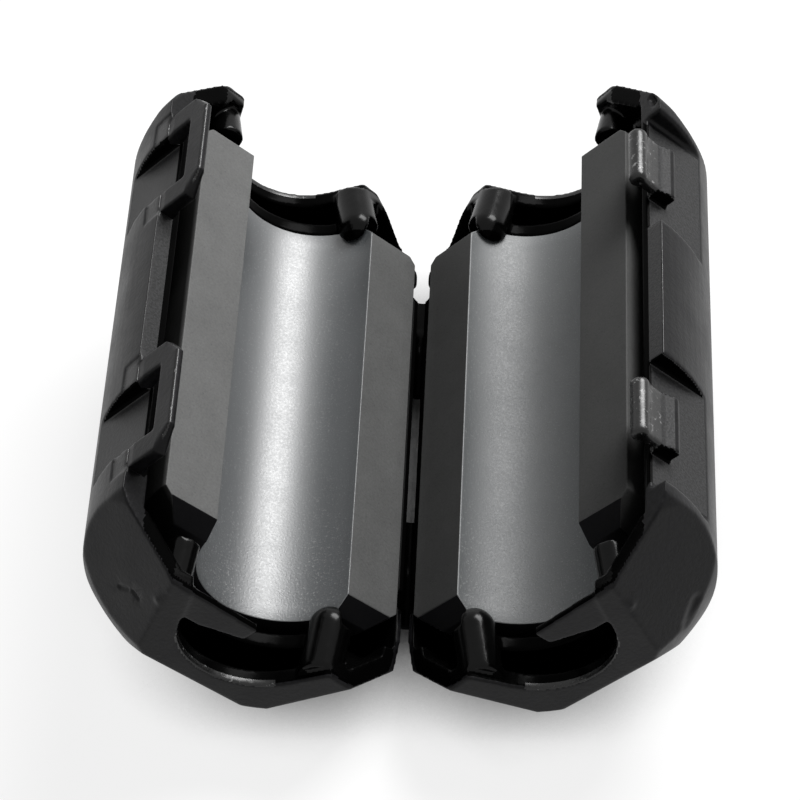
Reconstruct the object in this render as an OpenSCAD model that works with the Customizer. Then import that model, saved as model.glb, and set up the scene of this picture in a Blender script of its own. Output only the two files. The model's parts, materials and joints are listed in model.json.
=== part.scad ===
// Clip-on ferrite bead: two half cases joined by a living hinge, each holding a half core.
// A half is drawn with its parting plane up at z = 0. x runs from the hinge line to the latch,
// and y runs along the cable. Both halves then stand open about the hinge line.

/* [Core] */
// Bore through the two half cores
bore_d = 8.8; // [8:0.1:9.6]
// End play of a core in its case, taken up at the far end
core_play = 0.3; // [0.1:0.05:0.5]
// Bevel at each end of a mating face
core_bevel = 0.9; // [0.5:0.05:1.2]
// Bevel along the outer edges of a mating face
core_edge = 0.1; // [0.05:0.05:0.3]
// Bevel round the outside of each end
core_chamfer = 1.3; // [0.9:0.1:1.5]

/* [Case] */
// Outside of the closed case body
case_d = 19.5; // [19.3:0.1:20.4]
// Overall length of the case
case_len = 34.4; // [34:0.1:35.6]
// Wall of the case body
wall = 1.35; // [1.1:0.05:1.4]
// Room for the ribs between a core and the wall round it
core_room = 0.6; // [0.5:0.05:0.9]
// Distance from each end of a core to the end of its case
end_room = 3.65; // [3.4:0.05:4]
// Flat wall on the hinge side
hinge_wall = 0.4; // [0.35:0.05:0.6]
// Wall across each end of the core
end_wall = 0.9; // [0.7:0.05:1.1]
// Wall of the end caps
cap_wall = 1; // [0.8:0.05:1.2]
// Length of an end cap past the latches
cap_len = 5; // [4.8:0.1:5.4]
// Length of the straight part of an end cap
cap_straight = 1.2; // [0.8:0.1:1.6]
// Radius of an end cap's shoulder
shoulder_r = 14; // [8:0.5:20]
// Radius of the end faces
face_r = 7; // [6.6:0.1:7.3]
// Step of an end cap past the case body
cap_step = 0.1; // [0.05:0.01:0.2]
// Distance from the case axis to the latch-side facet of an end face
latch_facet = 5.8; // [5.4:0.1:6.2]
// Distance from the case axis to the hinge-side facet of an end face
hinge_facet = 6.1; // [5.8:0.1:6.4]
// Distance from the parting plane to the back facet of an end face
back_facet = 6.2; // [5.8:0.1:6.6]
// Lean of a side facet away from the parting plane
facet_lean = 22; // [10:1:30]
// Distance from the case axis to the bevel on the hinge side of the far end face's rim
bevel_facet = 3.4; // [3:0.05:3.6]
// Slope of that bevel along the cable
bevel_slope = 26.5; // [24:0.5:32]
// Bevel along the hinge walls past the far end of the hinge
hinge_bevel = 0.2; // [0.1:0.05:0.3]
// Cable mouth in each end face
mouth_d = 8.1; // [7.8:0.1:8.6]
// Depth of the mouth's centre below the parting plane
mouth_drop = 1.05; // [0.8:0.05:1.2]
// Flare of the mouth's sides up to the rim
mouth_flare = 26; // [20:1:32]
// Slope of an end cap's rim down to the mouth
rim_slope = 13.5; // [10:0.5:15]
// Lean of that slope down to the hinge side
rim_lean = 3; // [1:0.5:4]
// How far the case axis lies past the bore axis, on the latch side
axis_shift = 0.4; // [0.2:0.05:0.5]
// Clearance round each core
core_gap = 0.1; // [0.05:0.01:0.15]
// Step of a case rim below the mating face of its core
rim_drop = 0.15; // [0.1:0.01:0.25]
// Depth of the end walls below the parting plane
wall_drop = 2; // [1.6:0.1:2.2]
// Thickness of a rib under the core
rib_t = 1.2; // [0.8:0.1:1.6]
// Depth of the ribs' tops below the parting plane
rib_drop = 2.5; // [2:0.1:3]

/* [Latch] */
// Distance from a latch loop to the end cap beside it
latch_inset = 0.1; // [0:0.05:0.4]
// Width of a latch loop
loop_w = 7; // [6.6:0.1:7.2]
// Thickness of a latch loop
loop_t = 0.8; // [0.6:0.05:0.9]
// Height of a latch loop above the parting plane
loop_h = 3; // [2.8:0.1:3.2]
// Height of the crossbar of a loop
bar_h = 1.35; // [1.2:0.05:1.5]
// Cut corners of a loop
loop_corner = 1; // [0.6:0.1:1.2]
// Lead-in along the inside of a loop's crossbar
loop_lead = 0.4; // [0.3:0.05:0.5]
// Width of the window in a loop
window_w = 4.2; // [4:0.1:4.5]
// Depth of a loop's root below the parting plane
root_depth = 1; // [0.8:0.1:1.4]
// Width of a catch
catch_w = 3.5; // [3:0.1:3.7]
// Reach of a catch past its pocket
catch_reach = 0.95; // [0.8:0.05:1]
// Height of a catch above the parting plane
catch_h = 1.5; // [1.2:0.05:1.55]
// Thickness of a catch at the parting plane
catch_t = 0.45; // [0.35:0.05:0.5]
// Thickness of a catch's upper edge
catch_edge = 0.15; // [0.1:0.05:0.25]
// Height of the lead-in below that edge
catch_lead = 0.6; // [0.4:0.1:0.9]
// Bevel under a catch's hook
hook_bevel = 0.15; // [0.1:0.05:0.2]
// Length of a pocket that takes a loop
pocket_w = 8; // [7.6:0.1:8.2]
// Skin between the core's cavity and a pocket
pocket_skin = 0.45; // [0.35:0.05:0.6]
// Running clearance of a loop, its root and its catch
latch_gap = 0.1; // [0.08:0.01:0.15]

/* [Hinge] */
// Angle between each parting plane and the table
tilt = 45; // [40:1:50]
// Setback of the hinge walls from the hinge line
hinge_gap = 0.1; // [0.08:0.01:0.15]
// Length of each of the two hinge films
film_len = 5.7; // [5:0.1:6.5]
// Round reliefs in the hinge walls, at the outer ends of the films
relief_d = 1.2; // [1.05:0.05:1.3]
// Distance from a relief to the end cap beside it
relief_inset = 1.4; // [1.2:0.1:1.8]
// Depth of the reliefs
relief_depth = 2.2; // [1.5:0.1:3]
// Thickness of the hinge films
film_t = 0.4; // [0.3:0.05:0.5]
// Radius of the films' bend
film_r = 1.15; // [1:0.05:1.3]
// Depth of the bend's centre below the hinge line
film_drop = 0.73; // [0.6:0.01:0.8]

/* [Cable grips] */
// Round pegs on the hinge side of the bore
peg_d = 2.3; // [2:0.1:2.5]
// Round pegs on the latch side of the bore
slim_peg_d = 1.7; // [1.4:0.1:1.9]
// Depth of the pegs' tops below the parting plane
peg_drop = 0.1; // [0.05:0.05:0.3]
// Distance from the bore's edge to the pegs on the hinge side
peg_in = 0; // [-0.2:0.05:0.2]
// Distance from the bore's edge to the pegs on the latch side
peg_out = 1.25; // [1.1:0.05:1.4]
// Slope of the pegs down to the mouth
peg_slope = 13.5; // [10:0.5:15]
// Reach of a grip finger across its cable mouth
finger_len = 5; // [4.6:0.1:5.6]
// Height of a grip finger at its root
finger_h = 1.75; // [1.4:0.05:1.9]
// Height of a grip finger at its tip
finger_tip = 1.05; // [0.8:0.05:1.3]
// Thickness of a grip finger
finger_t = 0.5; // [0.4:0.05:0.6]

/* [Hidden] */
$fn = 96;
far = 60;
weld = 0.3;
case_r = case_d / 2;
cap_r = case_r + cap_step;
cavity_r = case_r - wall;
core_r = cavity_r - core_room;
core_len = case_len - 2 * end_room;
bore_r = bore_d / 2;
mouth_r = mouth_d / 2;
peg_r = peg_d / 2;
slim_peg_r = slim_peg_d / 2;
relief_r = relief_d / 2;
half_len = case_len / 2;
cap_start = half_len - cap_len;
core_end = core_len / 2;
wall_in = core_end + core_gap + core_play;
wall_out = wall_in + end_wall;
plate_in = half_len - cap_wall;
core_x = hinge_gap + hinge_wall + core_gap + core_r;
case_x = core_x + axis_shift;
dome_start = cap_start + cap_straight;
dome_run = [face_r - cap_r, half_len - dome_start];
dome_mid = [(face_r + cap_r) / 2, (half_len + dome_start) / 2];
dome_back = sqrt(shoulder_r * shoulder_r - dome_run * dome_run / 4) / norm(dome_run);
dome_c = dome_mid - dome_back * [dome_run[1], -dome_run[0]];
pocket_x = case_x + cavity_r + pocket_skin;
loop_x = pocket_x + latch_gap;
root_r = loop_t / 2;
root_x = loop_x + root_r;
slot_w = loop_w + 4 * latch_gap;
lift = cap_r - case_x * sin(tilt);
window_top = loop_h - bar_h;
arm_w = (loop_w - window_w) / 2;
latch_y = cap_start - latch_inset - loop_w / 2;
relief_y = cap_start - relief_inset;
film_end = relief_y - relief_r;
rib_gap = core_len / 3;
mouth_side = mouth_r * [cos(mouth_flare), -sin(mouth_flare)];
flare_h = mouth_drop - mouth_side[1];
finger_root = case_x + mouth_r + flare_h * tan(mouth_flare);
finger_end = finger_root - finger_len;
peg_x = core_x - bore_r - peg_in;
slim_peg_x = core_x + bore_r + peg_out;
latches = [-latch_y, latch_y];
ends = [0, 1];

// Height of an end face's rim at x
function rim_end(x) = x * tan(rim_lean) - rim_drop - (half_len - dome_start) * tan(rim_slope);

// A disc or bar round an axis along y, from one y to another
module disc(x, z, r, from, to) {
    translate([x, from, z]) rotate([-90, 0, 0]) cylinder(r = r, h = to - from);
}

// The same, centred on y = 0
module rod(x, z, r, length) {
    disc(x, z, r, -length / 2, length / 2);
}

// Everything below the height z
module below(z) {
    translate([-far, -far, z - 2 * far]) cube(2 * far);
}

// Everything on the latch side of x
module past(x) {
    translate([x, -far, -far]) cube(2 * far);
}

// An outline in x and z, drawn out along y
module bar(points, from, to) {
    translate([0, to, 0]) rotate([90, 0, 0]) linear_extrude(to - from) polygon(points);
}

// Half of the case's long section beside its axis, drawn in by inset
module section(inset) {
    square([case_r - inset, cap_start]);
    intersection() {
        square([cap_r - inset, half_len - inset]);
        union() {
            square([cap_r - inset, dome_start]);
            translate(dome_c) circle(shoulder_r - inset);
            square([face_r - inset, half_len - inset]);
        }
    }
}

// Everything beyond a facet of an end cap that faces away from the case axis at angle, and lies
// at reach from that axis in the end face
module beyond(angle, reach, slope, inset) {
    translate([case_x, half_len, 0]) rotate([0, -angle, 0])
        translate([reach - inset / cos(slope), 0, 0]) rotate([0, 0, slope])
            translate([0, -far, -far]) cube(2 * far);
}

// Everything beyond the three facets of an end cap: latch side, back and hinge side
module beyond_facets(inset) {
    beyond(-facet_lean, latch_facet, 45, inset);
    beyond(-90, back_facet, 45, inset);
    beyond(facet_lean - 180, hinge_facet, 45, inset);
}

// The closed case's outer form, drawn in by inset
module form(inset) {
    for (end = ends) mirror([0, end, 0]) difference() {
        translate([case_x, 0, 0]) rotate([-90, 0, 0]) rotate_extrude() section(inset);
        beyond_facets(inset);
    }
}

// The room inside the case: a cavity for the core and a chamber in each end cap
module hollow() {
    intersection() {
        rod(case_x, 0, cavity_r, 2 * wall_in);
        past(hinge_gap + hinge_wall);
    }
    intersection() {
        form(cap_wall);
        past(hinge_gap + cap_wall);
        for (end = ends) mirror([0, end, 0])
            translate([0, wall_in, -far]) cube([far, plate_in - wall_in, 2 * far]);
    }
}

// The mouths in the end faces, with flared sides
module mouths() {
    side = mouth_side + flare_h * [tan(mouth_flare), 1];
    for (end = ends) mirror([0, end, 0]) translate([case_x, 0, -mouth_drop]) {
        disc(0, 0, mouth_r, plate_in - weld, half_len + weld);
        bar([[-mouth_side[0], mouth_side[1]], mouth_side, side, [-side[0], side[1]]],
            plate_in - weld, half_len + weld);
    }
}

// What is cut off the rims of the end caps: a slope down to each mouth, and bevels beside the far
// end of the hinge
module rims() {
    for (end = ends) mirror([0, end, 0])
        translate([0, dome_start, -rim_drop]) rotate([0, -rim_lean, 0]) rotate([-rim_slope, 0, 0])
            translate([-far, 0, 0]) cube(2 * far);
    beyond(135, bevel_facet, bevel_slope, 0);
    translate([hinge_gap + hinge_bevel, relief_y, -rim_drop]) rotate([0, -45, 0])
        translate([-far, 0, 0]) cube(2 * far);
}

// Walls across the ends of the core and ribs under it, all open to the bore
module cradle() {
    difference() {
        intersection() {
            form(cap_wall / 2);
            past(hinge_gap + hinge_wall / 2);
            union() {
                for (end = ends) mirror([0, end, 0]) intersection() {
                    disc(case_x, 0, case_r, wall_in, wall_out);
                    below(-wall_drop);
                }
                for (y = [-rib_gap, 0, rib_gap]) intersection() {
                    disc(case_x, 0, cavity_r + weld, y - rib_t / 2, y + rib_t / 2);
                    below(-rib_drop);
                }
            }
        }
        rod(core_x, 0, core_r + core_gap, 2 * wall_in);
        rod(core_x, 0, bore_r + core_gap, case_len);
    }
}

// A round peg that slopes down from the core's end to the mouth
module peg(x, r) {
    intersection() {
        translate([x, wall_in, -peg_drop - r]) rotate([-90 - peg_slope, 0, 0]) cylinder(r = r, h = end_room);
        form(cap_wall / 2);
        translate([-far, wall_in + core_gap, -far]) cube(2 * far);
    }
}

// Pegs on both sides of the bore, those on the hinge side with round noses that hook over its ends
module pegs() {
    for (end = ends) mirror([0, end, 0]) {
        peg(slim_peg_x, slim_peg_r);
        peg(peg_x, peg_r);
        intersection() {
            translate([peg_x, wall_in, -peg_drop - peg_r]) rotate([90, 0, 0]) sphere(peg_r);
            rod(core_x, 0, bore_r - core_gap, case_len);
        }
    }
}

// The finger that reaches across the near cable mouth
module finger() {
    top = rim_end(finger_end);
    bar([[finger_root + weld, rim_end(finger_root)], [finger_end, top], [finger_end, top - finger_tip],
        [finger_end + finger_len / 2, top - finger_h], [finger_root + weld, top - finger_h]],
        latch_gap - half_len, latch_gap - half_len + finger_t);
}

// What both half cases share
module half_shell() {
    difference() {
        intersection() {
            form(0);
            past(hinge_gap);
            below(-rim_drop);
        }
        hollow();
        mouths();
        rims();
        for (end = ends) mirror([0, end, 0])
            translate([0, relief_y, -relief_depth]) cylinder(d = relief_d, h = far);
    }
    cradle();
    pegs();
    finger();
}

// A flat pocket in the latch side at each latch
module pockets(width) {
    for (y = latches) translate([pocket_x, y - width / 2, -far]) cube([far, width, 2 * far]);
}

// The slots that the arms of the loops stand in, round at the bottom
module slots() {
    for (y = latches) translate([0, y, 0]) {
        translate([pocket_x, -slot_w / 2, -root_depth]) cube([far, slot_w, far]);
        rod(root_x, -root_depth, root_r + latch_gap, slot_w);
        translate([root_x, -slot_w / 2, -root_depth - root_r - latch_gap]) cube([far, slot_w, far]);
    }
}

// A hooked catch standing on the pocket's skin
module catches() {
    back = pocket_x + 1.5 * latch_gap;
    hook = pocket_x + catch_reach;
    foot = 1.5 * latch_gap - window_top;
    for (y = latches) bar([[pocket_x - weld, -rim_drop], [back, -rim_drop], [back, catch_h],
        [back + catch_edge, catch_h], [back + catch_t, catch_h - catch_lead], [back + catch_t, 0],
        [hook, foot + 2 * hook_bevel], [hook - hook_bevel, foot], [pocket_x - weld, foot]],
        y - catch_w / 2, y + catch_w / 2);
}

// The standing half of the latch: a loop, rooted in the case by a round edge
module loop(y) {
    difference() {
        translate([loop_x, y, 0]) rotate([90, 0, 90]) linear_extrude(loop_t) difference() {
            polygon([[-loop_w / 2, -root_depth], [-loop_w / 2, loop_h - loop_corner],
                [loop_corner - loop_w / 2, loop_h], [loop_w / 2 - loop_corner, loop_h],
                [loop_w / 2, loop_h - loop_corner], [loop_w / 2, -root_depth]]);
            translate([-window_w / 2, -far]) square([window_w, far + window_top]);
        }
        bar([[loop_x - weld, loop_h - loop_corner], [loop_x, loop_h - loop_corner],
            [loop_x + loop_lead, loop_h], [loop_x + loop_lead, loop_h + weld],
            [loop_x - weld, loop_h + weld]], -far, far);
    }
    for (side = [-1, 1]) translate([0, y + side * (loop_w - arm_w) / 2, 0])
        rod(root_x, -root_depth, root_r, arm_w);
}

// A half core, bevelled round its mating face and round the outside of its ends
module core() {
    translate([0, core_play, 0]) difference() {
        intersection() {
            translate([core_x, 0, 0]) rotate([90, 0, 0]) rotate_extrude() polygon([[0, -core_end],
                [core_r - core_chamfer, -core_end], [core_r, core_chamfer - core_end],
                [core_r, core_end - core_chamfer], [core_r - core_chamfer, core_end], [0, core_end]]);
            below(0);
        }
        rod(core_x, 0, bore_r, case_len);
        for (end = ends) mirror([0, end, 0])
            translate([-far, core_end - core_bevel, 0]) rotate([-45, 0, 0]) cube(2 * far);
        for (side = ends) translate([core_x, 0, 0]) mirror([side, 0, 0])
            bar([[core_r - core_edge - weld, weld], [core_r + weld, weld],
                [core_r + weld, -core_edge - weld]], -far, far);
    }
}

// Lays a half open on its round back, with the hinge line along y
module latch_half() {
    translate([0, 0, lift]) mirror([1, 0, 0]) rotate([0, -tilt, 0]) children();
}

module catch_half() {
    translate([0, 0, lift]) rotate([0, -tilt, 0]) children();
}

module latch_shell() {
    color([0.13, 0.13, 0.14]) latch_half() difference() {
        half_shell();
        pockets(window_w);
        slots();
    }
}

module catch_shell() {
    color([0.13, 0.13, 0.14]) catch_half() {
        difference() {
            half_shell();
            pockets(pocket_w);
        }
        catches();
    }
}

module latch_core() {
    color([0.42, 0.43, 0.45]) latch_half() core();
}

module catch_core() {
    color([0.42, 0.43, 0.45]) catch_half() core();
}

module hinge_film() {
    color([0.13, 0.13, 0.14]) difference() {
        for (end = ends) mirror([0, end, 0]) intersection() {
            difference() {
                disc(0, lift - film_drop, film_r, film_end - film_len, film_end);
                rod(0, lift - film_drop, film_r - film_t, case_len);
            }
            below(lift - film_drop / 2);
        }
        latch_half() past(hinge_gap);
        catch_half() past(hinge_gap);
    }
}

module near_loop() {
    color([0.13, 0.13, 0.14]) latch_half() loop(-latch_y);
}

module far_loop() {
    color([0.13, 0.13, 0.14]) latch_half() loop(latch_y);
}

latch_shell();
catch_shell();
latch_core();
catch_core();
hinge_film();
near_loop();
far_loop();
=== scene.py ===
import json
import math

import bmesh
import bpy
from mathutils import Matrix, Vector


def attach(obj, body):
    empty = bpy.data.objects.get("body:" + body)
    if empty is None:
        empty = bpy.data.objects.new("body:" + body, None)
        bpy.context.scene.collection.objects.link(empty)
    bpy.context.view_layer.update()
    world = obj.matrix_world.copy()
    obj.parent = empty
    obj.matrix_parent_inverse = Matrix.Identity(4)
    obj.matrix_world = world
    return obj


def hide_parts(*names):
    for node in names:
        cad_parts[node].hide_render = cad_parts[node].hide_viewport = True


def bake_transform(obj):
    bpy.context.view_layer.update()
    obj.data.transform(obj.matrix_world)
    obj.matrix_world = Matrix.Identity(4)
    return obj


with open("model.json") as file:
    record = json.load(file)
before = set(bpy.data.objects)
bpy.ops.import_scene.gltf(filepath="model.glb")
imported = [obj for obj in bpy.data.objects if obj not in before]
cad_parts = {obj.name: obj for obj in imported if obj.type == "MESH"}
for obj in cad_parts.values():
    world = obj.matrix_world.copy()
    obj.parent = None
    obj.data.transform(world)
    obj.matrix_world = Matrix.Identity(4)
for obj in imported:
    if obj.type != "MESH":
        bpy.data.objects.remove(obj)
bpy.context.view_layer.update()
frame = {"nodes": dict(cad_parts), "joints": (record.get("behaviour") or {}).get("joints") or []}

bl_info = {
    "name": "Clip-on ferrite bead",
    "version": (1, 1, 0),
    "blender": (4, 5, 0),
    "location": "3D View > Sidebar > Ferrite bead",
    "description": "Builds the half cases, half cores, latch loops and hinge of a clip-on ferrite bead",
    "category": "Object",
}

# A half lies with its parting plane up at height 0. s runs from the hinge line to the latch and y along
# the cable. Sizes are in millimetres, and the row frame is in metres.
MM = 0.001
TILT = math.radians(45)
SLANT = math.sqrt(0.5)
HINGE = Vector(next(j["pos_m"] for j in frame["joints"] if j["name"] == "case_hinge"))

# The solids' own sizes
CORE_X = 8.4
CASE_X = 8.8
CASE_R = 9.75
CAVITY_R = 8.4
CAP_START = 12.2
PEG_X = 4.0
PEG_R = 1.15
SLIM_PEG_X = 14.05
SLIM_PEG_R = 0.85
LOOP_X = 17.75
LOOP_Y = 8.6
LOOP_H = 3.0
LOOP_W = 7.0
LOOP_T = 0.8
WINDOW_W = 4.2
ARM_W = (LOOP_W - WINDOW_W) / 2
SLOT_W = 7.4
CATCH_W = 3.5
ROOT_DEPTH = 1.0

# Where the finishes of a case change. What lies deeper than its skin takes the finish of its inside, whose
# darker tone is painted shade, and places along the cable are measured from the case's middle.
SKIN = 0.9
CATCH_REACH = 2.0
RUBBED_RIM_END = CAP_START - 0.5
LIP_START = 16.85
LIP_TOP = -3.5
PEG_START = 13.2
PEG_END = 16.8
PEG_FOOT = -1.9
END_WALL = 16.7
END_FACE = 17.0
POLISHED_R = 6.2
STEP = 0.04

# The feet that carry the case's round outside up into the loops' flat faces
FOOT_LAP = 0.12
FOOT_DEPTH = 2.9
FOOT_STEP = 0.2
LOOP_SINK = 0.12

# The bead-shaped noses of the catches
NOSE_X = 18.14
NOSE_UP = 1.04
NOSE_R = 0.5
NOSE_FOOT = ((17.82, -0.3), (18.36, -0.3))

# The corner beside a mouth that is rounded more: s, height and y
MOUTH_CORNER = (14.53, -2.1, 17.0)

# Small nicks in the end caps, each from start to end with its radius and its depth
NICKS = {
    "latch_half": (
        ((-13.9, -15.45, 11.15), (-13.45, -15.8, 11.45), 0.22, 0.1),
        ((-13.15, -16.0, 11.55), (-12.8, -16.3, 11.35), 0.2, 0.09),
    ),
    "catch_half": (
        ((14.6, -15.7, 8.9), (15.0, -15.0, 9.8), 0.6, 0.12),
        ((12.83, 13.9, 16.3), (12.95, 13.5, 16.4), 0.35, 0.3),
    ),
}

WELD = 1e-7

# The camera: its frame and focal length in pixels, its place in millimetres and the way that it looks back
FRAME_PX = 800
FOCAL_PX = 3046
SENSOR = 36
CAMERA_PLACE = Vector((9.378, -104.01, 134.57))
CAMERA_BACK = Vector((0.06082, -0.63131, 0.77314))
CAMERA_AZIMUTH = math.radians(5.5)
CAMERA_ROLL = math.radians(-3.9)

# The floor's reach in metres, its tones under the lamp and as the camera sees it, and the world's light
FLOOR_REACH = 2.0
FLOOR_TONE = 0.75
FLOOR_SHADE = 0.24
FLOOR_GLOW = 0.86
WORLD_LIGHT = 0.05


def half_frame(side):
    """From a half in millimetres to the row frame in metres. side is -1 for the latch half."""
    return (
        Matrix.Translation(HINGE)
        @ Matrix.Diagonal((side, 1, 1, 1))
        @ Matrix.Rotation(-TILT, 4, "Y")
        @ Matrix.Scale(MM, 4)
    )


def looks():
    """The colours and finishes that are set."""
    return bpy.context.scene.bead_look


def sizes():
    """The sizes that are set."""
    return bpy.context.scene.bead_sizes


def clamp(value):
    return max(0.0, min(1.0, value))


# ---------------------------------------------------------------- node trees


class Nodes:
    """A short way to write a node tree."""

    def __init__(self, tree):
        self.tree = tree

    def add(self, kind, inputs=(), **settings):
        node = self.tree.nodes.new(kind)
        for key, value in settings.items():
            setattr(node, key, value)
        for key, value in dict(inputs).items():
            self.set(node.inputs[key], value)
        return node

    def set(self, socket, value):
        if isinstance(value, bpy.types.NodeSocket):
            self.tree.links.new(value, socket)
        elif isinstance(value, bpy.types.Node):
            self.tree.links.new(value.outputs[0], socket)
        else:
            socket.default_value = value

    def math(self, operation, *values):
        node = self.tree.nodes.new("ShaderNodeMath")
        node.operation = operation
        for socket, value in zip(node.inputs, values):
            self.set(socket, value)
        return node.outputs[0]

    def total(self, *values):
        result = values[0]
        for value in values[1:]:
            result = self.math("ADD", result, value)
        return result

    def times(self, *values):
        result = values[0]
        for value in values[1:]:
            result = self.math("MULTIPLY", result, value)
        return result

    def minus(self, a, b):
        return self.math("SUBTRACT", a, b)

    def ramp(self, value, low, high, kind="LINEAR", to_low=0.0, to_high=1.0):
        """to_low where value is at low or past it, to_high at high, and even between them."""
        node = self.add("ShaderNodeMapRange", interpolation_type=kind)
        limits = {"Value": value, "From Min": low, "From Max": high, "To Min": to_low, "To Max": to_high}
        for key, limit in limits.items():
            self.set(node.inputs[key], limit)
        return node.outputs["Result"]

    def smooth(self, value, low, high):
        """0 where value is at low or past it, 1 at high, and a soft step between them."""
        return self.ramp(value, low, high, "SMOOTHSTEP")

    def between(self, factor, a, b):
        """a where factor is 0, b where it is 1."""
        return self.ramp(factor, 0.0, 1.0, "LINEAR", a, b)

    def mix(self, factor, a, b, blend="MIX"):
        node = self.add("ShaderNodeMix", data_type="RGBA", blend_type=blend)
        self.set(node.inputs["Factor"], factor)
        colours = [socket for socket in node.inputs if socket.type == "RGBA"]
        for socket, colour in zip(colours, (a, b)):
            self.set(socket, colour)
        return next(socket for socket in node.outputs if socket.type == "RGBA")

    def multiply(self, a, b):
        return self.mix(1.0, a, b, "MULTIPLY")


class ShapeTree(Nodes):
    """A Geometry Nodes tree that makes one mesh from named sizes."""

    def __init__(self, name):
        super().__init__(bpy.data.node_groups.new(name, "GeometryNodeTree"))
        self.sockets = {}
        self.given = self.add("NodeGroupInput")

    def size(self, name, kind="NodeSocketFloat"):
        self.sockets[name] = self.tree.interface.new_socket(name, in_out="INPUT", socket_type=kind)
        return self.given.outputs[name]

    def finish(self, geometry):
        """Closes the tree with its result."""
        self.tree.interface.new_socket("Geometry", in_out="OUTPUT", socket_type="NodeSocketGeometry")
        out = self.add("NodeGroupOutput")
        self.set(out.inputs["Geometry"], geometry)

    def modifier(self, piece, values):
        """Adds the tree to a piece, with its sizes set by their sockets' identifiers."""
        modifier = piece.modifiers.new(self.tree.name, "NODES")
        modifier.node_group = self.tree
        for name, value in values.items():
            modifier[self.sockets[name].identifier] = value
        return modifier


# ---------------------------------------------------------------- materials


def grey(value):
    return (value, value, value, 1)


class Finish(Nodes):
    """A material with one shader, whose patterns lie in the piece's own coordinates."""

    def __init__(self, build):
        self.material = bpy.data.materials.new(build.__name__ + "_finish")
        self.material.use_nodes = True
        self.material.node_tree.nodes.clear()
        super().__init__(self.material.node_tree)
        self.shader = self.add("ShaderNodeBsdfPrincipled")
        out = self.add("ShaderNodeOutputMaterial")
        self.tree.links.new(self.shader.outputs[0], out.inputs["Surface"])
        self.point = self.add("ShaderNodeTexCoord").outputs["Object"]

    def axes(self):
        return self.add("ShaderNodeSeparateXYZ", {"Vector": self.point}).outputs

    def noise(self, scale, detail, roughness):
        """A cloudy pattern, with about scale patches to the metre."""
        inputs = {"Vector": self.point, "Scale": scale, "Detail": detail, "Roughness": roughness}
        return self.add("ShaderNodeTexNoise", inputs).outputs["Fac"]

    def cells(self, scale):
        """A pattern of cells, about scale to the metre: 0 at each cell's point and more away from it."""
        inputs = {"Vector": self.point, "Scale": scale, "Randomness": 1.0}
        return self.add("ShaderNodeTexVoronoi", inputs).outputs["Distance"]

    def dots(self, cells):
        """Small round dots at the points of a pattern of cells."""
        return self.minus(1.0, self.smooth(cells, 0.08, 0.24))

    def spread(self, pattern, width):
        """A pattern moved to lie evenly about 0, over a width."""
        return self.times(self.minus(pattern, 0.5), width)

    def right(self):
        """0 in the latch half, 1 in the catch half."""
        return self.ramp(self.axes()[0], -1 * MM, 1 * MM)

    def coat(self, colour, roughness, height, depth, strength, ior):
        """Sets the shader. height is a pattern pressed depth metres deep."""
        self.set(self.shader.inputs["Base Color"], colour)
        self.set(self.shader.inputs["Roughness"], roughness)
        bump = self.add("ShaderNodeBump", {"Height": height, "Distance": depth, "Strength": strength})
        self.set(self.shader.inputs["Normal"], bump)
        self.shader.inputs["IOR"].default_value = ior
        return self.material


def textured_plastic(look):
    """Black moulded plastic with a fine grained skin: the body of the case."""
    n = Finish(textured_plastic)
    grain = n.noise(1 / look.grain_size, 2.5, 0.65)
    fleck = n.cells(0.8 / look.grain_size)
    cloud = n.noise(300.0, 3.0, 0.6)
    tone = n.mix(cloud, grey(0.7), grey(1.35))
    tone = n.multiply(tone, n.mix(n.smooth(grain, 0.35, 0.65), grey(0.35), grey(1.9)))
    roughness = n.total(look.body_roughness, n.total(n.spread(cloud, 0.18), n.spread(grain, 0.2)))
    skin = n.total(grain, n.times(fleck, 0.3))
    return n.coat(n.multiply((*look.plastic_colour, 1), tone), roughness, skin, 0.03 * MM, 0.6, 1.36)


def satin_plastic(look):
    """The same plastic with a satin skin: the caps, the rims and the loops."""
    n = Finish(satin_plastic)
    grain = n.noise(4200.0, 2.5, 0.65)
    cloud = n.noise(300.0, 3.0, 0.6)
    tone = n.mix(cloud, grey(0.4), grey(1.7))
    tone = n.multiply(tone, n.mix(n.smooth(grain, 0.3, 0.7), grey(0.5), grey(1.7)))
    roughness = n.total(look.cap_roughness, n.total(n.spread(cloud, 0.3), n.spread(grain, 0.15)))
    return n.coat(n.multiply((*look.satin_colour, 1), tone), roughness, grain, 0.03 * MM, 0.5, 1.23)


def rubbed_plastic(look):
    """The same plastic rubbed bright, with pale patches that are partly wear and partly painted glints: the
    catches, the loops' crossbars and the edges of the case.
    """
    n = Finish(rubbed_plastic)
    scuff = n.noise(2600.0, 4.0, 0.7)
    wear_and_glints = n.smooth(n.noise(3600.0, 3.0, 0.6), 0.6, 0.7)
    # Pale patches: partly wear, partly painted glints.
    tone = n.mix(wear_and_glints, n.mix(scuff, grey(0.004), grey(0.012)), grey(0.25))
    return n.coat(tone, n.total(look.rubbed_roughness, n.spread(scuff, 0.4)), scuff, 0.03 * MM, 0.35, 1.42)


def polished_shaded_plastic(look):
    """The same plastic with a smooth gloss and a darker tone that is painted shade: the insides of the case
    and the hinge.
    """
    n = Finish(polished_shaded_plastic)
    cloud = n.noise(700.0, 3.0, 0.6)
    # Painted shade: a darker tone than the satin plastic's.
    tone = n.mix(cloud, grey(0.0006), grey(0.0022))
    return n.coat(tone, n.total(look.inside_roughness, n.spread(cloud, 0.15)), cloud, 0.02 * MM, 0.2, 1.06)


def shaded_peg_plastic(look):
    """The same plastic with a wet gloss and a darker tone that is painted shade: the pegs beside the bore.
    """
    n = Finish(shaded_peg_plastic)
    cloud = n.noise(900.0, 3.0, 0.6)
    # Painted shade: a darker tone than the satin plastic's.
    tone = n.mix(cloud, grey(0.0006), grey(0.002))
    return n.coat(tone, n.total(look.peg_roughness, n.spread(cloud, 0.2)), cloud, 0.03 * MM, 0.3, 1.22)


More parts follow.
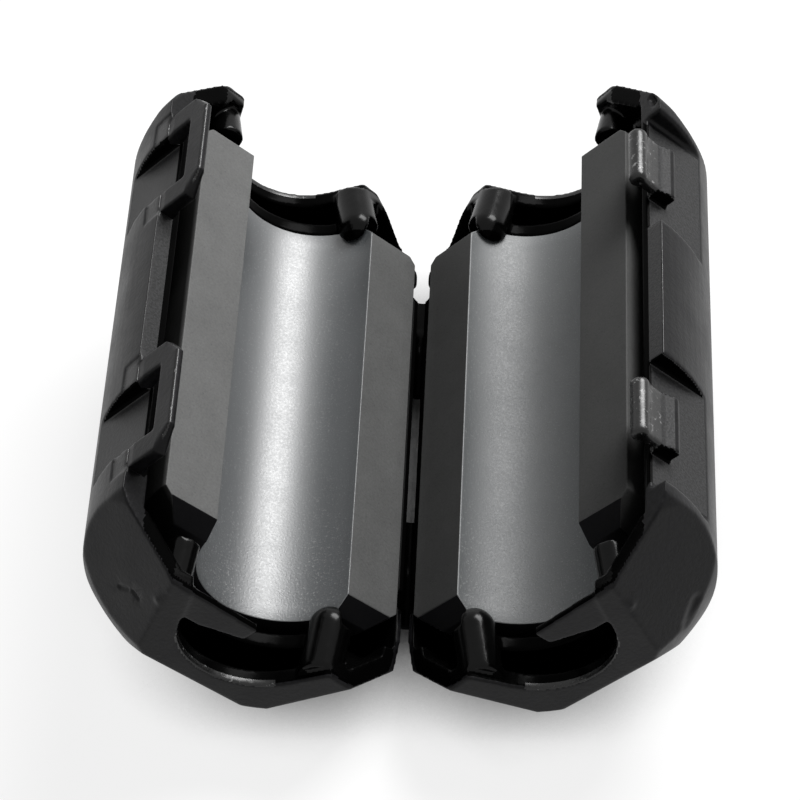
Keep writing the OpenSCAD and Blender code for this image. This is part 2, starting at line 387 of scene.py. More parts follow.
def painted_face_shade(n):
    """How light the ground finish is, as painted shade: duller near the hinge and in the catch half, and
    dark on the latch half's sides below its faces."""
    x, _, z = n.axes()
    across = n.math("ABSOLUTE", x)
    height = n.minus(z, HINGE.z)
    s = n.times(n.total(across, height), SLANT)
    up = n.times(n.minus(height, across), SLANT)
    right = n.right()
    # Painted shade: darker towards the hinge, to 0.68, and over the whole catch half, to 0.55.
    shade = n.between(n.ramp(s, (CORE_X - 1) * MM, (CORE_X + 1) * MM), 0.68, 1.0)
    shade = n.times(shade, n.between(right, 1.0, 0.55))
    # Painted shade: the latch half's sides below its faces are darkened to 0.12.
    below = n.times(n.minus(1.0, right), n.ramp(up, -0.05 * MM, -0.4 * MM))
    return n.times(shade, n.between(below, 1.0, 0.12))


def ground_ferrite(look):
    """Ferrite ground flat: the two mating faces, a dull grey with fine pores, darkened by place with
    painted shade.
    """
    n = Finish(ground_ferrite)
    grain = n.noise(7500.0, 2.0, 0.7)
    pore = n.dots(n.cells(3200.0))
    cloud = n.noise(420.0, 4.0, 0.65)
    tone = n.multiply((*look.face_colour, 1), n.mix(cloud, grey(0.8), grey(1.2)))
    tone = n.mix(n.times(pore, 0.12), tone, grey(0.02))
    tone = n.multiply(tone, n.mix(grain, grey(0.72), grey(1.28)))
    # Painted shade: the tone is darkened by place.
    tone = n.multiply(tone, n.mix(painted_face_shade(n), grey(0), grey(1)))
    roughness = n.total(look.face_roughness, n.total(n.spread(cloud, 0.1), n.spread(grain, 0.25)))
    return n.coat(tone, roughness, n.total(grain, n.times(pore, -0.9)), 0.012 * MM, 0.3, 1.2)


def bore_ferrite(look):
    """Ferrite in the bore: a blue-grey gloss with fine specks, coarser at the near mouth, with painted
    glints near the mouth and a darker colour in the catch half that is painted shade.
    """
    n = Finish(bore_ferrite)
    near = n.smooth(n.axes()[1], -4 * MM, -13 * MM)
    half = n.right()
    grain = n.noise(7500.0, 2.0, 0.7)
    speck = n.dots(n.cells(4500.0))
    cloud = n.noise(420.0, 4.0, 0.65)
    # Painted shade: the catch half's bore takes a darker copy of the bore's colour.
    tone = n.mix(half, (*look.bore_colour, 1), (*look.shaded_bore_colour, 1))
    tone = n.multiply(tone, n.mix(cloud, grey(0.8), grey(1.2)))
    tone = n.mix(n.times(speck, n.between(near, 0.2, 0.6)), tone, grey(0.015))
    # Painted glints: pale grey spots in the colour towards the near mouth.
    painted_glints = n.times(n.smooth(grain, 0.55, 0.72), n.between(near, 0.25, 0.6))
    dull = n.between(half, look.bore_roughness, look.dull_bore_roughness)
    roughness = n.total(dull, n.total(n.spread(cloud, 0.1), n.spread(grain, 0.25)))
    height = n.total(grain, n.times(speck, -0.3))
    strength = n.between(near, 0.35, 0.9)
    return n.coat(n.mix(painted_glints, tone, grey(0.3)), roughness, height, 0.016 * MM, strength, look.bore_ior)


def fired_ferrite(look):
    """The dull skin on the ends of a half core, dark partly as fired ferrite and partly as painted shade.
    """
    n = Finish(fired_ferrite)
    grain = n.noise(5000.0, 3.0, 0.7)
    # Dark partly as fired ferrite and partly as painted shade.
    tone = n.multiply((*look.fired_skin_and_shade_colour, 1), n.mix(n.noise(500.0, 3.0, 0.6), grey(0.75), grey(1.25)))
    return n.coat(tone, n.total(look.fired_roughness, n.spread(grain, 0.3)), grain, 0.02 * MM, 0.5, 1.15)


def finish_named(build):
    """The material that build makes, made once."""
    return bpy.data.materials.get(build.__name__ + "_finish") or build(looks())


# ---------------------------------------------------------------- settings


class BeadLook(bpy.types.PropertyGroup):
    """Colours and finishes of the bead."""

    plastic_colour: bpy.props.FloatVectorProperty(
        name="Textured plastic", description="Colour of the textured body of the case", subtype="COLOR",
        size=3, default=(0.013, 0.013, 0.0135), min=0, max=1)
    satin_colour: bpy.props.FloatVectorProperty(
        name="Satin plastic", description="Colour of the end caps, the rims and the loops",
        subtype="COLOR", size=3, default=(0.0045, 0.0044, 0.005), min=0, max=1)
    body_roughness: bpy.props.FloatProperty(
        name="Body roughness", description="Roughness of the textured body of the case", default=0.46,
        min=0, max=1)
    cap_roughness: bpy.props.FloatProperty(
        name="Cap roughness", description="Roughness of the end caps and loops", default=0.42, min=0,
        max=1)
    inside_roughness: bpy.props.FloatProperty(
        name="Inside roughness", description="Roughness of the polished insides of the case",
        default=0.22, min=0, max=1)
    rubbed_roughness: bpy.props.FloatProperty(
        name="Rubbed roughness", description="Roughness of the rubbed edges and catches", default=0.3,
        min=0, max=1)
    peg_roughness: bpy.props.FloatProperty(
        name="Peg roughness", description="Roughness of the pegs beside the bore", default=0.2, min=0,
        max=1)
    grain_size: bpy.props.FloatProperty(
        name="Grain", description="Size of the moulded texture's grain", default=0.13 * MM, min=0.05 * MM,
        max=1 * MM, unit="LENGTH", precision=5)
    bore_colour: bpy.props.FloatVectorProperty(
        name="Bore", description="Colour of the ferrite's bore", subtype="COLOR", size=3,
        default=(0.029, 0.034, 0.037), min=0, max=1)
    # Painted shade: a darker copy of the bore's colour for the catch half.
    shaded_bore_colour: bpy.props.FloatVectorProperty(
        name="Duller bore", description="Colour of the bore in the catch half", subtype="COLOR", size=3,
        default=(0.011, 0.016, 0.018), min=0, max=1)
    face_colour: bpy.props.FloatVectorProperty(
        name="Mating faces", description="Colour of the ground mating faces", subtype="COLOR", size=3,
        default=(0.165, 0.166, 0.164), min=0, max=1)
    # Dark partly as fired ferrite and partly as painted shade.
    fired_skin_and_shade_colour: bpy.props.FloatVectorProperty(
        name="Fired skin", description="Colour of the half cores' ends", subtype="COLOR", size=3,
        default=(0.009, 0.009, 0.01), min=0, max=1)
    bore_roughness: bpy.props.FloatProperty(
        name="Bore roughness", description="Roughness of the bore", default=0.49, min=0, max=1)
    face_roughness: bpy.props.FloatProperty(
        name="Face roughness", description="Roughness of the mating faces", default=0.5, min=0, max=1)
    dull_bore_roughness: bpy.props.FloatProperty(
        name="Duller bore roughness", description="Roughness of the bore in the catch half", default=0.62,
        min=0, max=1)
    fired_roughness: bpy.props.FloatProperty(
        name="Fired roughness", description="Roughness of the half cores' ends", default=0.62, min=0,
        max=1)
    bore_ior: bpy.props.FloatProperty(
        name="Bore index", description="Index of refraction that sets the bore's gloss", default=2.18,
        min=1, max=3)


class BeadSizes(bpy.types.PropertyGroup):
    """Sizes of the half cores and the hinge, and how fine and soft the mouldings are."""

    edge_voxel: bpy.props.FloatProperty(
        name="Mould detail", description="Finest detail of the moulded halves", default=0.1 * MM,
        min=0.08 * MM, max=0.5 * MM, unit="LENGTH", precision=5)
    edge_passes: bpy.props.IntProperty(
        name="Edge softening", description="Smoothing passes that round the moulded edges", default=7,
        min=0, max=20)
    core_length: bpy.props.FloatProperty(
        name="Core length", description="Length of a half core", default=27.1 * MM, unit="LENGTH",
        precision=4)
    core_radius: bpy.props.FloatProperty(
        name="Core radius", description="Outer radius of a half core", default=7.8 * MM, unit="LENGTH",
        precision=4)
    bore_radius: bpy.props.FloatProperty(
        name="Bore radius", description="Radius of the bore", default=4.4 * MM, unit="LENGTH",
        precision=4)
    core_play: bpy.props.FloatProperty(
        name="Core play", description="End play, taken up at the far end", default=0.3 * MM,
        unit="LENGTH", precision=4)
    core_bevel: bpy.props.FloatProperty(
        name="Face bevel", description="Bevel at each end of a mating face", default=0.9 * MM,
        unit="LENGTH", precision=4)
    core_chamfer: bpy.props.FloatProperty(
        name="End chamfer", description="Chamfer round the outside of each end", default=1.3 * MM,
        unit="LENGTH", precision=4)
    core_edge: bpy.props.FloatProperty(
        name="Core edge", description="Rounding of a half core's edges", default=0.06 * MM, min=0.01 * MM,
        max=0.3 * MM, unit="LENGTH", precision=5)
    band_length: bpy.props.FloatProperty(
        name="Hinge band", description="Length of each of the two bands of the hinge", default=6.8 * MM,
        unit="LENGTH", precision=4)
    band_middle: bpy.props.FloatProperty(
        name="Band place", description="Distance of a band's middle from the middle of the hinge",
        default=7.9 * MM, unit="LENGTH", precision=4)
    band_radius: bpy.props.FloatProperty(
        name="Band bend", description="Outer radius of the bands' bend", default=1.15 * MM, unit="LENGTH",
        precision=5)
    band_thickness: bpy.props.FloatProperty(
        name="Band thickness", description="Thickness of the bands", default=0.4 * MM, unit="LENGTH",
        precision=5)
    band_drop: bpy.props.FloatProperty(
        name="Band drop", description="Depth of the bend's centre below the hinge line",
        default=0.73 * MM, unit="LENGTH", precision=5)


# ---------------------------------------------------------------- pieces


def add_object(name, mesh):
    piece = bpy.data.objects.new(name, mesh)
    bpy.context.scene.collection.objects.link(piece)
    return piece


def bake(piece):
    """Applies the piece's modifiers to its mesh."""
    graph = bpy.context.evaluated_depsgraph_get()
    mesh = bpy.data.meshes.new_from_object(piece.evaluated_get(graph))
    piece.modifiers.clear()
    piece.data = mesh


def shade_smooth(mesh):
    mesh.polygons.foreach_set("use_smooth", [True] * len(mesh.polygons))
    mesh.update()


def face_outwards(mesh):
    work = bmesh.new()
    work.from_mesh(mesh)
    bmesh.ops.remove_doubles(work, verts=work.verts, dist=WELD)
    bmesh.ops.recalc_face_normals(work, faces=work.faces)
    work.to_mesh(mesh)
    work.free()


def solid_copy(node):
    """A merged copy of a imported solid, as a bmesh in millimetres."""
    work = bmesh.new()
    work.from_mesh(frame["nodes"][node].data)
    work.transform(Matrix.Scale(1 / MM, 4))
    bmesh.ops.remove_doubles(work, verts=work.verts, dist=0.0005)
    return work


def in_half(point):
    """Where a point of the row frame lies in its half: s, height and y. All is in millimetres."""
    across = abs(point[0])
    height = point[2] - HINGE.z / MM
    return (across + height) * SLANT, (height - across) * SLANT, point[1]


def dent(mesh, start, end, radius, depth):
    """Presses a small nick into a moulding along the line from start to end. All is in millimetres."""
    a, b = Vector(start), Vector(end)
    normals = [v.normal.copy() for v in mesh.vertices]
    for vertex, normal in zip(mesh.vertices, normals):
        run = clamp((vertex.co - a).dot(b - a) / (b - a).length_squared)
        share = 1 - (vertex.co - a.lerp(b, run)).length / radius
        if share > 0:
            vertex.co = vertex.co - normal * depth * share * share * (3 - 2 * share)
    mesh.update()


def soften(name, work, limit, passes, voxel=1.0, spots=None, spot_passes=0, nicks=()):
    """Turns a bmesh in millimetres into a moulding with soft edges, softer where spots says so. voxel
    scales its grid, and limit is about the most triangles that it keeps."""
    mesh = bpy.data.meshes.new(name)
    work.to_mesh(mesh)
    work.free()
    piece = add_object(name, mesh)
    grid = piece.modifiers.new("Grid", "REMESH")
    grid.mode = "VOXEL"
    grid.voxel_size = sizes().edge_voxel / MM * voxel * 1
    soft = piece.modifiers.new("Soften", "SMOOTH")
    soft.factor = 0.5
    soft.iterations = passes
    bake(piece)
    if spots:
        group = piece.vertex_groups.new(name="spots")
        group.add([v.index for v in piece.data.vertices if spots(*in_half(v.co))], 1.0, "REPLACE")
        more = piece.modifiers.new("Soften spots", "SMOOTH")
        more.vertex_group = group.name
        more.factor = 0.5
        more.iterations = spot_passes
        bake(piece)
        piece.vertex_groups.clear()
    for nick in nicks:
        dent(piece.data, *nick)
    count = 2 * len(piece.data.polygons)
    if count > limit:
        thin = piece.modifiers.new("Thin", "DECIMATE")
        thin.ratio = limit / count
        bake(piece)
    piece.data.transform(Matrix.Scale(MM, 4))
    shade_smooth(piece.data)
    return piece


FINISHES = (satin_plastic, textured_plastic, polished_shaded_plastic, rubbed_plastic, shaded_peg_plastic)
SATIN, TEXTURED, POLISHED, RUBBED, PEG = range(len(FINISHES))


def cut_rim(mesh):
    """Cuts a case's mesh where its skin ends on the latch side, so that two finishes meet in a line."""
    place = half_frame(math.copysign(1, sum(vertex.co.x for vertex in mesh.vertices)))
    across = (place.to_3x3() @ Vector((1, 0, 0))).normalized()
    edge = place @ Vector((CASE_X + CASE_R - SKIN, 0, 0))
    work = bmesh.new()
    work.from_mesh(mesh)
    parts = work.verts[:] + work.edges[:] + work.faces[:]
    bmesh.ops.bisect_plane(work, geom=parts, dist=WELD, plane_co=edge, plane_no=across)
    work.to_mesh(mesh)
    work.free()


def loop_finish(up, rounded):
    """The finish of a loop's face: satin, with a rubbed edge along the crossbar whose pale patches are
    partly painted glints.
    """
    return RUBBED if up > LOOP_H - 0.6 and rounded else SATIN


def case_finish(s, up, y, radius, outward, rounded, end_on):
    """The finish of a case's face. radius is its distance from the case's axis, outward is how far it faces
    away from that axis, and y is its distance from the case's middle."""
    deep = radius < CASE_R - SKIN
    inward = outward < -0.2
    catch = s > LOOP_X - 0.05 and up > -0.2 and abs(y - LOOP_Y) < CATCH_REACH
    rim = radius > CASE_R - SKIN and rounded and y < RUBBED_RIM_END
    lip = deep and inward and y > LIP_START and up < LIP_TOP
    # The rubbed finish's pale patches are partly painted glints.
    if catch or rim or lip:
        return RUBBED
    # Painted shade: the pegs take a darker finish.
    at_peg = abs(s - PEG_X) < PEG_R + 0.1 or abs(s - SLIM_PEG_X) < SLIM_PEG_R + 0.1
    if at_peg and up > PEG_FOOT and PEG_START < y < PEG_END:
        return PEG
    # Painted shade: the insides, the faces near the mouth and the end walls take the darker polished
    # finish.
    near_mouth = y < END_WALL and radius < POLISHED_R
    end_wall = y < END_FACE and outward < 0.2 and radius < CAVITY_R - 0.05
    if deep and (y < CAP_START or (y < END_FACE and inward) or near_mouth or end_wall):
        return POLISHED
    if radius > CASE_R + STEP:
        return SATIN
    # Painted shade: faces along the cable in the body's recesses take the darker polished finish.
    if end_on and y < CAP_START - 0.3 and radius < CASE_R:
        return POLISHED
    return TEXTURED if up < -0.02 and y < CAP_START else SATIN


def coat_plastic(piece, loop=False):
    """Gives a case or a loop its finishes, face by face."""
    mesh = piece.data
    if not loop:
        cut_rim(mesh)
    mesh.materials.clear()
    for build in FINISHES:
        mesh.materials.append(finish_named(build))
    picks = []
    for face in mesh.polygons:
        s, up, y = in_half(face.center / MM)
        side = math.copysign(1, face.center.x)
        facing_s = SLANT * (face.normal.z + side * face.normal.x)
        facing_up = SLANT * (face.normal.z - side * face.normal.x)
        rounded = min(facing_s, facing_up) > 0.35
        if loop:
            picks.append(loop_finish(up, rounded))
        else:
            radius = math.hypot(s - CASE_X, up)
            outward = ((s - CASE_X) * facing_s + up * facing_up) / radius
            end_on = abs(face.normal.y) > 0.4
            picks.append(case_finish(s, up, abs(y), radius, outward, rounded, end_on))
    mesh.polygons.foreach_set("material_index", picks)


def prism(work, outline, low, high, side):
    """Adds a straight prism along y, its outline in a half case's own s and height, all in millimetres."""
    place = Matrix.Scale(1 / MM, 4) @ half_frame(side)
    rings = [[work.verts.new(place @ Vector((s, y, up))) for s, up in outline] for y in (low, high)]
    faces = [work.faces.new(rings[0]), work.faces.new(rings[1][::-1])]
    for index in range(len(outline)):
        a, b = index, (index + 1) % len(outline)
        faces.append(work.faces.new((rings[0][b], rings[0][a], rings[1][a], rings[1][b])))
    bmesh.ops.recalc_face_normals(work, faces=faces)


def arm_foot(proud, top):
    """The outline of a loop's foot: it carries the case's round outside up into the loop's flat face."""
    inner = LOOP_X - FOOT_LAP
    outline = [(inner, top), (inner, -FOOT_DEPTH)]
    heights = [-FOOT_DEPTH + step * FOOT_STEP for step in range(15)]
    for up in [height for height in heights if height < top] + [top]:
        outline.append((CASE_X + math.sqrt((CASE_R + proud) ** 2 - min(up, 0) ** 2), up))
    return outline


def fill_slot(work, y):
    """Fills the slot of a loop on both sides of its window, flush with the case's round outside."""
    arm = (WINDOW_W / 2, LOOP_W / 2 + 0.1, -0.3)
    edge = (LOOP_W / 2 - 0.1, SLOT_W / 2 + 0.25, -0.13)
    for low, high, top in (arm, edge):
        prism(work, arm_foot(0.0, top), y + low, y + high, -1)
        prism(work, arm_foot(0.0, top), y - high, y - low, -1)


def catch_nose(work, y):
    """Gives a catch the bead-shaped nose that holds its loop."""
    turns = [math.radians(-50 + 20 * step) for step in range(15)]
    nose = [(NOSE_X + NOSE_R * math.cos(turn), NOSE_UP + NOSE_R * math.sin(turn)) for turn in turns]
    half = CATCH_W / 2 + 0.03
    prism(work, [*NOSE_FOOT, *nose], y - half, y + half, 1)


def case_spots(s, up, y):
    """Where a case is rounded more: its catches, and the corners beside the mouth."""
    catch = s > LOOP_X + 0.1 and up > -0.25 and abs(abs(y) - LOOP_Y) < 2.2
    corner = math.dist((s, up, abs(y)), MOUTH_CORNER) < 0.9
    return catch or corner


def loop_spots(s, up, y):
    """Where a loop is rounded more: the two corners of its crossbar."""
    return math.dist((up, abs(abs(y) - LOOP_Y)), (LOOP_H, LOOP_W / 2)) < 1.1


class BEAD_OT_case_halves(bpy.types.Operator):
    """Make the two half cases with soft moulded edges"""

    bl_idname = "bead.case_halves"
    bl_label = "Half cases"

    def execute(self, context):
        for node, body in (("latch_shell", "latch_half"), ("catch_shell", "catch_half")):
            work = solid_copy(node)
            shape = fill_slot if node == "latch_shell" else catch_nose
            for y in (-LOOP_Y, LOOP_Y):
                shape(work, y)
            piece = soften(body + "_case", work, 190000, sizes().edge_passes,
                           spots=case_spots, spot_passes=12, nicks=NICKS[body])
            coat_plastic(piece)
            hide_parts(node)
            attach(piece, body)
        return {"FINISHED"}


class BEAD_OT_latch_loops(bpy.types.Operator):
    """Make the two latch loops, each with the feet that join it to its half case"""

    bl_idname = "bead.latch_loops"
    bl_label = "Latch loops"

    def execute(self, context):
        place = half_frame(-1)
        for node, y in (("near_loop", -LOOP_Y), ("far_loop", LOOP_Y)):
            work = solid_copy(node)
            for low in (-LOOP_W / 2, WINDOW_W / 2):
                prism(work, arm_foot(-0.05, 0.4), y + low, y + low + ARM_W, -1)
            piece = soften(node + "_moulding", work, 60000, 2 * sizes().edge_passes, 0.8,
                           spots=loop_spots, spot_passes=60)
            for vertex in piece.data.vertices:
                up = in_half(vertex.co / MM)[1]
                sink = LOOP_SINK * MM * SLANT * clamp((0.2 - up) / 0.8)
                vertex.co += Vector((sink, 0, -sink))
            coat_plastic(piece, loop=True)
            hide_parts(node)
            low = place @ Vector((LOOP_X + LOOP_T / 2, y, -ROOT_DEPTH - 0.7))
            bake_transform(piece)
        return {"FINISHED"}


def hinge_band_tree():
    """Two bands side by side, each a strip bent to an arc across the hinge line."""
    n = ShapeTree("hinge_bands")
    length, middle, outer, thick, drop = (
        n.size(name) for name in ("Length", "Middle", "Outer radius", "Thickness", "Drop"))
    finish = n.size("Finish", "NodeSocketMaterial")
    strip = n.add("GeometryNodeMeshCube", {
        "Size": (1, 1, 1), "Vertices X": 41, "Vertices Y": 2, "Vertices Z": 2})
    x, y, z = n.add("ShaderNodeSeparateXYZ", {"Vector": n.add("GeometryNodeInputPosition")}).outputs
    angle = n.times(x, math.radians(200))
    radius = n.minus(outer, n.times(thick, n.minus(0.5, z)))
    spot = n.add("ShaderNodeCombineXYZ", {
        "X": n.times(radius, n.math("SINE", angle)),
        "Y": n.times(y, length),
        "Z": n.minus(n.times(radius, n.times(n.math("COSINE", angle), -1.0)), drop),
    })
    bent = n.add("GeometryNodeSetPosition", {"Geometry": strip, "Position": spot})
    offset = n.add("ShaderNodeCombineXYZ", {"Y": n.times(middle, 2.0)})
    first = n.add("ShaderNodeCombineXYZ", {"Y": n.times(middle, -1.0)})
    row = n.add("GeometryNodeMeshLine", {"Count": 2, "Start Location": first, "Offset": offset})
    bands = n.add("GeometryNodeInstanceOnPoints", {"Points": row, "Instance": bent})
    real = n.add("GeometryNodeRealizeInstances", {"Geometry": bands})
    n.finish(n.add("GeometryNodeSetMaterial", {"Geometry": real, "Material": finish}))
    return n


class BEAD_OT_hinge_bands(bpy.types.Operator):
    """Make the two thin bands of the living hinge"""

    bl_idname = "bead.hinge_bands"
    bl_label = "Living hinge"

    def execute(self, context):
        size = sizes()
        piece = add_object("living_hinge", bpy.data.meshes.new("living_hinge"))
        # Painted shade: the bands take the darker polished finish.
        hinge_band_tree().modifier(piece, {
            "Length": size.band_length, "Middle": size.band_middle, "Outer radius": size.band_radius,
            "Thickness": size.band_thickness, "Drop": size.band_drop,
            "Finish": finish_named(polished_shaded_plastic)})
        bake(piece)
        piece.data.transform(Matrix.Translation(HINGE))
        face_outwards(piece.data)
        shade_smooth(piece.data)
        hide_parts("hinge_film")
        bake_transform(piece)
        return {"FINISHED"}


def half_core_tree():
    """A half core: a block wrapped round the bore, with bevelled faces and chamfered ends."""
    n = ShapeTree("half_core")
    length, outer, bore, bevel, chamfer = (
        n.size(name) for name in ("Length", "Outer radius", "Bore radius", "Face bevel", "End chamfer"))
    ground, bored, fired = (n.size(name, "NodeSocketMaterial") for name in ("Ground", "Bore", "Fired"))
    block = n.add("GeometryNodeMeshCube", {
        "Size": (1, 1, 1), "Vertices X": 97, "Vertices Y": 6, "Vertices Z": 2})
    x, y, z = n.add("ShaderNodeSeparateXYZ", {"Vector": n.add("GeometryNodeInputPosition")}).outputs
    nx, ny, nz = n.add("ShaderNodeSeparateXYZ", {"Vector": n.add("GeometryNodeInputNormal")}).outputs
    nx, ny = n.math("ABSOLUTE", nx), n.math("ABSOLUTE", ny)

    # Rings along the block lie at its ends, at the ends of the bevels and at the ends of the chamfers.
    ring = n.times(n.math("ABSOLUTE", y), 5.0)
    past_bevel = n.ramp(ring, 1.5, 0.5, to_high=n.minus(chamfer, bevel))
    inwards = n.total(n.ramp(ring, 2.5, 1.5, to_high=bevel), past_bevel)
    along = n.times(n.math("SIGN", y), n.minus(n.times(length, 0.5), inwards))
    cut = n.math("MAXIMUM", n.minus(bevel, inwards), 0.0)
    out = n.minus(outer, n.math("MAXIMUM", n.minus(chamfer, inwards), 0.0))
    radius = n.total(bore, n.times(n.minus(out, bore), n.total(z, 0.5)))
    start = n.math("ARCSINE", n.math("DIVIDE", cut, radius))
    sweep = n.minus(math.pi, n.times(start, 2.0))
    angle = n.total(start, n.times(sweep, n.total(x, 0.5)))
    spot = n.add("ShaderNodeCombineXYZ", {
        "X": n.times(radius, n.math("COSINE", angle)), "Y": along,
        "Z": n.times(radius, n.times(n.math("SINE", angle), -1.0))})

    # The faces are told apart on the block, before it is wrapped. The ends and the bevels share a finish.
    bevels = n.times(n.math("GREATER_THAN", nx, 0.5), n.math("GREATER_THAN", n.math("ABSOLUTE", y), 0.35))
    ends = n.math("GREATER_THAN", ny, 0.5)
    marks = n.add("GeometryNodeCaptureAttribute", {"Geometry": block}, domain="FACE")
    for name, mark in (("In bore", n.math("LESS_THAN", nz, -0.5)), ("On end", n.total(ends, bevels))):
        marks.capture_items.new("FLOAT", name)
        n.set(marks.inputs[name], mark)
    shaped = n.add("GeometryNodeSetPosition", {"Geometry": marks.outputs["Geometry"], "Position": spot})
    solid = n.add("GeometryNodeRealizeInstances", {"Geometry": shaped})
    solid = n.add("GeometryNodeSetMaterial", {"Geometry": solid, "Material": ground})
    for name, finish in (("In bore", bored), ("On end", fired)):
        solid = n.add("GeometryNodeSetMaterial", {
            "Geometry": solid, "Selection": marks.outputs[name], "Material": finish})
    n.finish(solid)
    return n


class BEAD_OT_half_cores(bpy.types.Operator):
    """Make the two half cores"""

    bl_idname = "bead.half_cores"
    bl_label = "Half cores"

    def execute(self, context):
        size = sizes()
        tree = half_core_tree()
        for side, node, body in ((-1, "latch_core", "latch_half"), (1, "catch_core", "catch_half")):
            piece = add_object(body + "_ferrite", bpy.data.meshes.new(body + "_ferrite"))
            tree.modifier(piece, {
                "Length": size.core_length / MM, "Outer radius": size.core_radius / MM,
                "Bore radius": size.bore_radius / MM, "Face bevel": size.core_bevel / MM,
                "End chamfer": size.core_chamfer / MM,
                "Ground": finish_named(ground_ferrite), "Bore": finish_named(bore_ferrite),
                "Fired": finish_named(fired_ferrite)})
            edges = piece.modifiers.new("Edges", "BEVEL")
            edges.limit_method = "ANGLE"
            edges.angle_limit = math.radians(25)
            edges.width = size.core_edge / MM
            edges.segments = 3
            bake(piece)
            place = Matrix.Translation((CORE_X, size.core_play / MM, 0))
            piece.data.transform(half_frame(side) @ place)
            face_outwards(piece.data)
            shade_smooth(piece.data)
            flats = piece.modifiers.new("Flats", "WEIGHTED_NORMAL")
            flats.weight = 100
            bake(piece)
            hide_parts(node)
            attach(piece, body)
        return {"FINISHED"}


# ---------------------------------------------------------------- stage


def seen_directly(n):
    """1 for the rays that show the background: straight to the camera, in a reflection or through glass."""
    path = n.add("ShaderNodeLightPath")
    shown = n.math("MAXIMUM", path.outputs["Is Camera Ray"], path.outputs["Is Glossy Ray"])
    return n.math("MAXIMUM", shown, path.outputs["Is Transmission Ray"])


def studio_floor():
    """A pale floor that shows white and keeps the object's shadow as a soft grey, with painted shadow where
    its glow is dimmed under and around the object.
    """
    material = bpy.data.materials.new("studio_floor")
    material.use_nodes = True
    material.node_tree.nodes.clear()
    n = Nodes(material.node_tree)
    matte = n.add("ShaderNodeBsdfDiffuse", {"Color": grey(FLOOR_TONE)})
    shade = n.add("ShaderNodeBsdfDiffuse", {"Color": grey(FLOOR_SHADE)})
    # Painted shadow: the floor's glow is dimmed where the object hides the floor from the open sky.
    painted_shadow_occlusion = n.add("ShaderNodeAmbientOcclusion", {"Distance": 0.02}, samples=16)
    reach = n.ramp(painted_shadow_occlusion.outputs["AO"], 0.05, 0.6, to_high=FLOOR_GLOW)
    glow = n.add("ShaderNodeEmission", {"Color": (1, 1, 1, 1), "Strength": reach})
    white = n.add("ShaderNodeAddShader")
    n.set(white.inputs[0], shade)
    n.set(white.inputs[1], glow)
    pick = n.add("ShaderNodeMixShader", {"Fac": seen_directly(n)})
    n.set(pick.inputs[1], matte)
    n.set(pick.inputs[2], white)
    out = n.add("ShaderNodeOutputMaterial")
    n.tree.links.new(pick.outputs[0], out.inputs["Surface"])
    return material


def softbox(name, target, direction, distance, size, power):
    """A rectangular lamp that faces the target from a direction."""
    lamp = bpy.data.lights.new(name, "AREA")
    lamp.shape = "RECTANGLE"
    lamp.size, lamp.size_y = size
    lamp.energy = power
    obj = bpy.data.objects.new(name, lamp)
    bpy.context.scene.collection.objects.link(obj)
    way = Vector(direction).normalized()
    obj.location = Vector(target) + way * distance
    obj.rotation_mode = "QUATERNION"
    obj.rotation_quaternion = way.to_track_quat("Z", "Y")


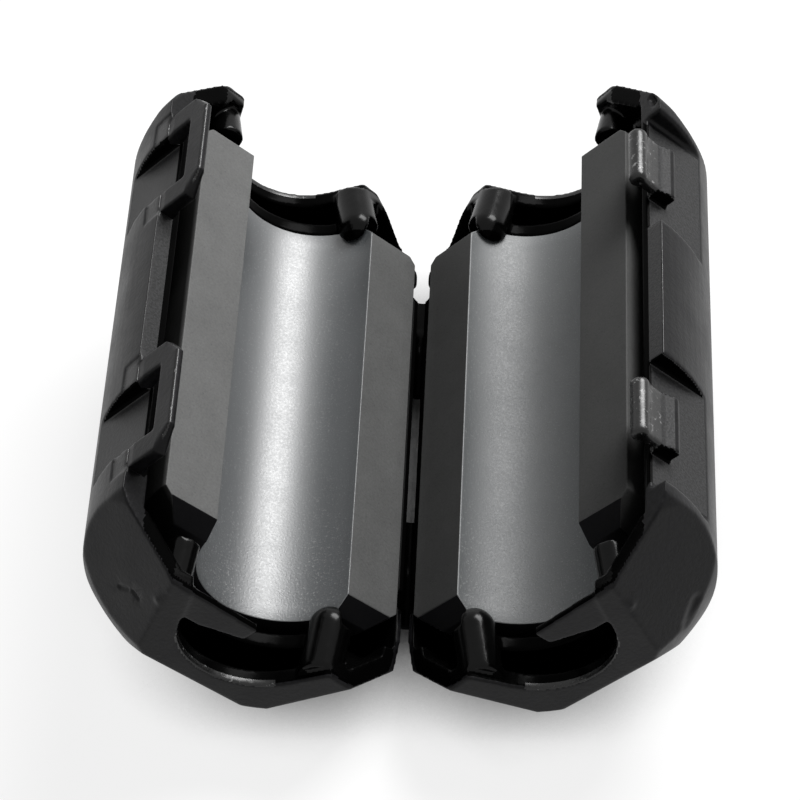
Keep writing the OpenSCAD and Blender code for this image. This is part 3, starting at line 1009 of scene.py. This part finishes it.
class BEAD_OT_stage(bpy.types.Operator):
    """Make the floor, the world, the lamp and the camera"""

    bl_idname = "bead.stage"
    bl_label = "Stage"

    def execute(self, context):
        scene = context.scene
        work = bmesh.new()
        bmesh.ops.create_grid(work, x_segments=1, y_segments=1, size=FLOOR_REACH)
        mesh = bpy.data.meshes.new("floor")
        work.to_mesh(mesh)
        work.free()
        floor = add_object("floor", mesh)
        floor.data.materials.append(studio_floor())

        world = bpy.data.worlds.new("studio")
        scene.world = world
        world.use_nodes = True
        world.node_tree.nodes.clear()
        n = Nodes(world.node_tree)
        light = n.between(seen_directly(n), WORLD_LIGHT, 1.0)
        sky = n.add("ShaderNodeBackground", {"Color": grey(1), "Strength": light})
        out = n.add("ShaderNodeOutputWorld")
        n.tree.links.new(sky.outputs[0], out.inputs["Surface"])

        softbox("key_softbox", target=(0, 0, 0.01), direction=(0.36, 0.62, 0.7), distance=0.35,
                size=(0.19, 0.145), power=1.55)

        camera = bpy.data.cameras.new("camera")
        camera.sensor_width = SENSOR
        camera.lens = FOCAL_PX / FRAME_PX * SENSOR
        camera.clip_start, camera.clip_end = 0.01, 10
        obj = bpy.data.objects.new("camera", camera)
        scene.collection.objects.link(obj)
        back = CAMERA_BACK.normalized()
        right = Vector((math.cos(CAMERA_AZIMUTH), math.sin(CAMERA_AZIMUTH), 0))
        up = back.cross(right)
        across = math.cos(CAMERA_ROLL) * right + math.sin(CAMERA_ROLL) * up
        upward = -math.sin(CAMERA_ROLL) * right + math.cos(CAMERA_ROLL) * up
        turn = Matrix((across, upward, back)).transposed().to_4x4()
        obj.matrix_world = Matrix.Translation(CAMERA_PLACE * MM) @ turn
        scene.camera = obj
        scene.view_settings.view_transform = "Standard"
        return {"FINISHED"}


class BEAD_PT_panel(bpy.types.Panel):
    """The bead's settings and steps"""

    bl_idname = "BEAD_PT_panel"
    bl_label = "Ferrite bead"
    bl_space_type = "VIEW_3D"
    bl_region_type = "UI"
    bl_category = "Ferrite bead"

    def draw(self, context):
        layout = self.layout
        for group in (context.scene.bead_look, context.scene.bead_sizes):
            box = layout.box()
            for key in group.__annotations__:
                box.prop(group, key)
        for operator in OPERATORS:
            layout.operator(operator.bl_idname)


GROUPS = (BeadLook, BeadSizes)
OPERATORS = (
    BEAD_OT_case_halves,
    BEAD_OT_latch_loops,
    BEAD_OT_hinge_bands,
    BEAD_OT_half_cores,
    BEAD_OT_stage,
)


def register():
    for cls in (*GROUPS, *OPERATORS, BEAD_PT_panel):
        bpy.utils.register_class(cls)
    bpy.types.Scene.bead_look = bpy.props.PointerProperty(type=BeadLook)
    bpy.types.Scene.bead_sizes = bpy.props.PointerProperty(type=BeadSizes)


def unregister():
    del bpy.types.Scene.bead_sizes
    del bpy.types.Scene.bead_look
    for cls in reversed((*GROUPS, *OPERATORS, BEAD_PT_panel)):
        bpy.utils.unregister_class(cls)


def main():
    register()
    for run in (bpy.ops.bead.case_halves, bpy.ops.bead.latch_loops, bpy.ops.bead.hinge_bands,
                bpy.ops.bead.half_cores, bpy.ops.bead.stage):
        if run() != {"FINISHED"}:
            raise RuntimeError("a step of the bead did not finish")


if __name__ == "__main__":
    main()
